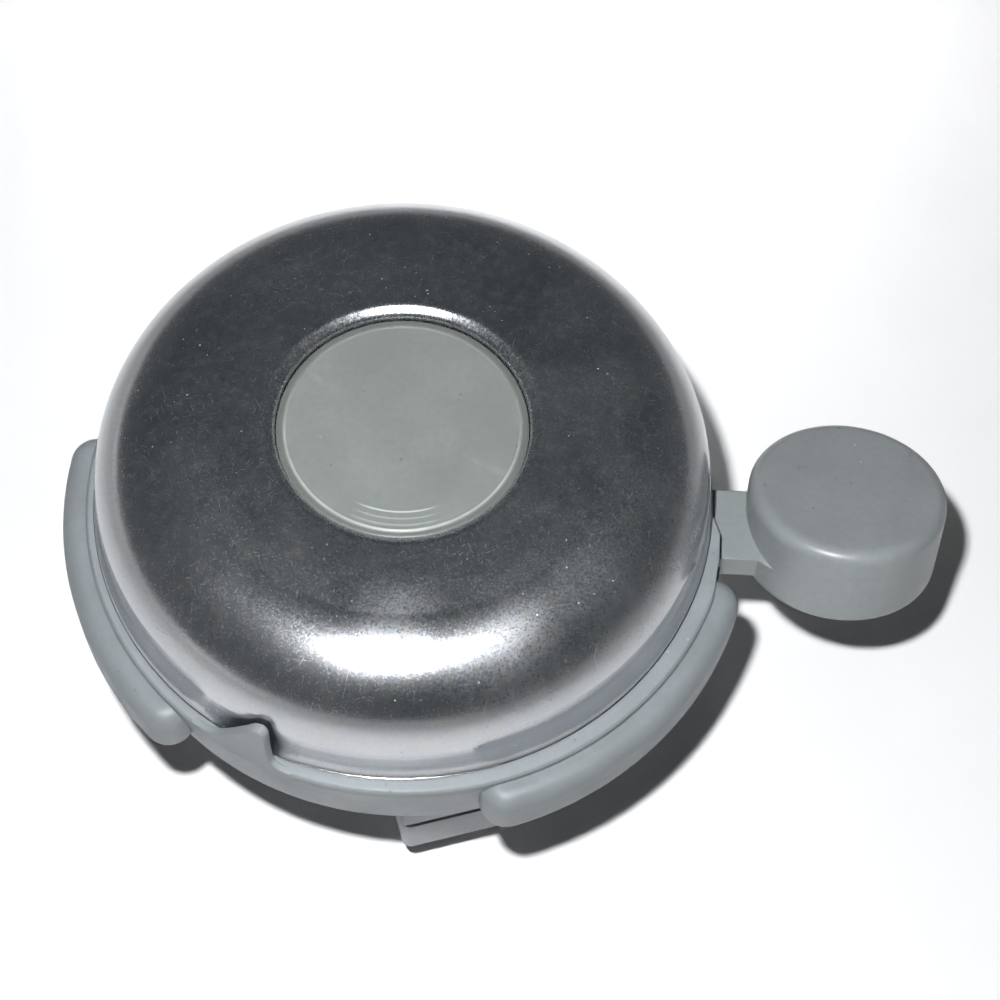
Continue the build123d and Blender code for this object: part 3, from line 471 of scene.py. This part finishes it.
def dome_skin(grow, n=54):
    zs = DOME_TOP - SHOULDER
    rx, rz = SHOULDER + 0.45 + grow, SHOULDER - 0.35 + grow
    cx = DOME_WALL - (SHOULDER + 0.45)
    low = [(DOME_R + grow, DOME_Z0), (29.46 + grow, 23.05), (29.26 + grow, 23.70), (29.13 + grow, 24.7), (29.06 + grow, 25.9), (29.00 + grow, 27.0)]
    k0 = math.radians(11)
    arc = [(cx + rx * math.cos(a), zs + rz * math.sin(a)) for a in (k0 + (math.pi / 2 - k0) * i / n for i in range(n + 1))]
    return smooth_path(low + arc[:1], 0.14)[:-1] + arc


outer = dome_skin(0.0)
edge = smooth_path([(12.80, DOME_TOP - 0.004), (12.62, DOME_TOP - 0.035), (12.44, DOME_TOP - 0.115), (12.26, DOME_TOP - 0.225), (12.08, DOME_TOP - 0.345),
                    (11.92, DOME_TOP - 0.465), (11.80, DOME_TOP - 0.600), (11.71, DOME_TOP - 0.750), (11.67, DOME_TOP - 0.930), (11.67, DOME_TOP - 1.300)], 0.05)
top = smooth_path([outer[-1], (16.6, DOME_TOP - 0.14), (14.2, DOME_TOP - 0.035), edge[0]], 0.25)[:-1] + edge
inner = dome_skin(-DOME_T)
outline = ([(28.79, DOME_Z0 + 0.03), (28.93, DOME_Z0), (29.55, DOME_Z0), (29.69, DOME_Z0 + 0.03), (29.70, DOME_Z0 + 0.12)] + outer[1:-1] + top
           + [(RECESS_R, RECESS_Z + 0.4), (RECESS_R - 0.4, RECESS_Z), (2.1, RECESS_Z), (2.1, RECESS_Z - DOME_T), (RECESS_R + 0.4, RECESS_Z - DOME_T),
              (RECESS_R + 0.85, RECESS_Z - DOME_T + 0.3), (RECESS_R + DOME_T, RECESS_Z - DOME_T + 1.0), (RECESS_R + DOME_T, DOME_TOP - 1.5), (RECESS_R + DOME_T + 0.15, DOME_TOP - 1.2),
              (RECESS_R + DOME_T + 0.5, DOME_TOP - DOME_T - 0.05)]
           + list(reversed(inner[1:])))
dome = lathe("dome_shell", outline, DOME_C, m_dome, segs=360)
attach(dome, "root")
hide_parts("bell_dome")

# ------------------------------------------------------------------------------------------------ centre cap
CAP_R, CAP_Z = 11.5, 34.75


def crown_z(r):
    return CAP_Z + 0.2 - 0.235 * (r / 10.7) ** 2


cap_edge = [(CAP_R + 0.1, RECESS_Z + 0.6), (CAP_R + 0.1, CAP_Z - 0.42)]
cap_edge += [(CAP_R - 0.20 + 0.30 * math.cos(a), CAP_Z - 0.42 + 0.30 * math.sin(a)) for a in (math.pi / 2 * i / 10 for i in range(1, 11))]
cap_edge += [(CAP_R - 0.45, CAP_Z - 0.115), (CAP_R - 0.54, CAP_Z - 0.10), (CAP_R - 0.61, CAP_Z - 0.055), (CAP_R - 0.67, CAP_Z + 0.005), (CAP_R - 0.73, CAP_Z + 0.022), (CAP_R - 0.79, CAP_Z + 0.005), (CAP_R - 0.81, CAP_Z - 0.025)]
# faint turned rings on the face, then the shallow crown
face = []
r = 10.68
while r > 0.3:
    dz = 0.0
    for rr, hh in ((10.25, 0.004), (9.62, 0.005), (8.95, 0.008)):
        dz += hh * math.exp(-((r - rr) / 0.12) ** 2) if r > rr else hh * math.exp(-((r - rr) / 0.5) ** 2)
    face.append((r, crown_z(r) + dz))
    r -= 0.05 if r > 7.6 else 0.5
cap_out = [(CAP_R - 0.35, RECESS_Z + 0.02)] + cap_edge + face + [(0, CAP_Z + 0.2), (0, CAP_Z - 1.0), (CAP_R - 1.5, CAP_Z - 1.2), (CAP_R - 1.3, CAP_Z - 1.5), (CAP_R - 1.3, RECESS_Z + 0.02)]
bm_cap = lathe("cap_disc", cap_out, DOME_C, m_cap, segs=288)
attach(bm_cap, "root")
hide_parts("centre_cap")

# ------------------------------------------------------------------------------------------------ CAD nodes: shading
for name, o in nodes.items():
    if name in ("bell_dome", "centre_cap"):
        continue
    me = o.data
    me.polygons.foreach_set("use_smooth", [True] * len(me.polygons))

# ------------------------------------------------------------------------------------------------ stage
THETA = math.radians(17.5)          # the handlebar's direction seen across the view
OFF = Vector((0.00045, 0, 0))
ROT = Matrix.Rotation(-THETA, 4, "Z")


def from_view(p):
    """A point given in millimetres about the dome's axis at the lip, x to the right and y away in the view."""
    return ROT @ (Vector(p) * MM - OFF) + Vector((0, 0, 0.0223))


F, D, EL, ROLL, OX, OY = 2200.0, 211.9, math.radians(61.33), math.radians(2.94), 404.5, 491.2
back = Vector((0, -math.cos(EL), math.sin(EL)))
right = Vector((1, 0, 0))
up = back.cross(right)
r2 = right * math.cos(ROLL) + up * math.sin(ROLL)
u2 = -right * math.sin(ROLL) + up * math.cos(ROLL)
t = Vector(((OX - 500) / F * D, -(OY - 500) / F * D, -D))
cam_pos = -(r2 * t.x + u2 * t.y + back * t.z)
cam_data = bpy.data.cameras.new("camera")
cam_data.sensor_width = 36.0
cam_data.lens = F * 36.0 / 1000.0
cam_data.clip_start = 0.005
cam_data.clip_end = 20
cam = bpy.data.objects.new("camera", cam_data)
scene.collection.objects.link(cam)
rot = Matrix(((r2.x, u2.x, back.x), (r2.y, u2.y, back.y), (r2.z, u2.z, back.z))).to_4x4()
cam.matrix_world = Matrix.Translation(from_view(cam_pos)) @ ROT @ rot
scene.camera = cam

FLOOR_Z = -0.0142
KEY_OFF = (-12.5, 20.0, -3.0)
BACK_POWER = 0.055
KEY_POWER, RING_POWER, FILL_POWER, AMBIENT = 0.78, 1.0, 0.015, 0.006
m_floor, nt, b = new_mat("white_card")
g = G(nt)
fl = g.noise(g.obj, 30, 4, 0.6)
g.link(g.mix(g.maprange(fl, 0.3, 0.7, 0, 1), (0.86, 0.86, 0.865), (0.83, 0.83, 0.835)), b.inputs["Base Color"])
b.inputs["Roughness"].default_value = 0.8
b.inputs["Specular IOR Level"].default_value = 0.2
g.link(g.bump(g.noise(g.obj, 900, 3, 0.6), 0.05, 0.0001), b.inputs["Normal"])
bm = bmesh.new()
bmesh.ops.create_grid(bm, x_segments=8, y_segments=8, size=1.6)
floor = obj_from_bm("floor", bm, m_floor)
floor.location.z = FLOOR_Z

# surroundings: the object sees a dim room above the table, the background itself is pale
world = bpy.data.worlds.new("studio")
scene.world = world
world.use_nodes = True
wt = world.node_tree
wt.nodes.clear()
wo = wt.nodes.new("ShaderNodeOutputWorld")
wg = G(wt)
sx = wg.node("ShaderNodeSeparateXYZ")
tcg = wt.nodes.new("ShaderNodeTexCoord").outputs["Generated"]
wg.link(tcg, sx.inputs[0])
sky = wg.ramp(wg.maprange(sx.outputs[2], -0.1, 1.0, 0, 1), [(0.0, (0.11, 0.115, 0.122)), (0.12, (0.095, 0.102, 0.110)), (0.24, (0.085, 0.094, 0.100)), (0.50, (0.064, 0.074, 0.079)), (1.0, (0.058, 0.069, 0.074))])
bg_obj = wt.nodes.new("ShaderNodeBackground")
wg.link(sky, bg_obj.inputs["Color"])
bg_amb = wt.nodes.new("ShaderNodeBackground")
bg_amb.inputs["Color"].default_value = (AMBIENT, AMBIENT * 1.01, AMBIENT * 1.03, 1)
bg_cam = wt.nodes.new("ShaderNodeBackground")
bg_cam.inputs["Color"].default_value = (0.90, 0.90, 0.905, 1)
lp = wt.nodes.new("ShaderNodeLightPath")
m1 = wt.nodes.new("ShaderNodeMixShader")
wt.links.new(lp.outputs["Is Diffuse Ray"], m1.inputs[0])
wt.links.new(bg_obj.outputs[0], m1.inputs[1])
wt.links.new(bg_amb.outputs[0], m1.inputs[2])
m2 = wt.nodes.new("ShaderNodeMixShader")
wt.links.new(lp.outputs["Is Camera Ray"], m2.inputs[0])
wt.links.new(m1.outputs[0], m2.inputs[1])
wt.links.new(bg_cam.outputs[0], m2.inputs[2])
wt.links.new(m2.outputs[0], wo.inputs[0])


def area(name, pos, target, size, power, colour=(1, 1, 1), size_y=None, spread=180.0, glossy=True):
    li = bpy.data.lights.new(name, "AREA")
    li.shape = "RECTANGLE" if size_y else "DISK"
    li.size = size
    if size_y:
        li.size_y = size_y
    li.energy = power
    li.color = colour
    li.spread = math.radians(spread)
    o = bpy.data.objects.new(name, li)
    scene.collection.objects.link(o)
    o.location = pos
    o.rotation_euler = (Vector(target) - Vector(pos)).to_track_quat("-Z", "Y").to_euler()
    o.visible_glossy = glossy
    return o


# key light close to the lens, up and to the left of it
aim = from_view((6, 0, -10))
key_pos = from_view(cam_pos + r2 * KEY_OFF[0] + u2 * KEY_OFF[1] + back * KEY_OFF[2])
area("key", key_pos, from_view((-12, 62, -36)), 0.006, KEY_POWER, (0.99, 1.0, 1.015), size_y=0.005)
# low lights far out over the table keep the rest of it pale
for k in range(6):
    a = math.radians(60 * k + 20)
    ring = Vector((0.78 * math.cos(a), 0.78 * math.sin(a), 0.55))
    area("table_%d" % k, ring, (ring.x, ring.y, FLOOR_Z), 0.5, RING_POWER * (1.0 + 1.6 * max(0.0, -math.cos(a))), spread=95.0, glossy=False)
# and one behind the object lights the far part of the table only
area("table_back", from_view((5, 125, 200)), from_view((5, 125, -36)), 0.12, BACK_POWER, spread=42.0, glossy=False)
# faint fill from the far left, hidden from the metal
fill_pos = from_view((-260, 330, 260))
area("fill", fill_pos, aim, 0.30, FILL_POWER, glossy=False)

scene.view_settings.view_transform = "Standard"
scene.view_settings.look = "None"
scene.view_settings.exposure = 0.0
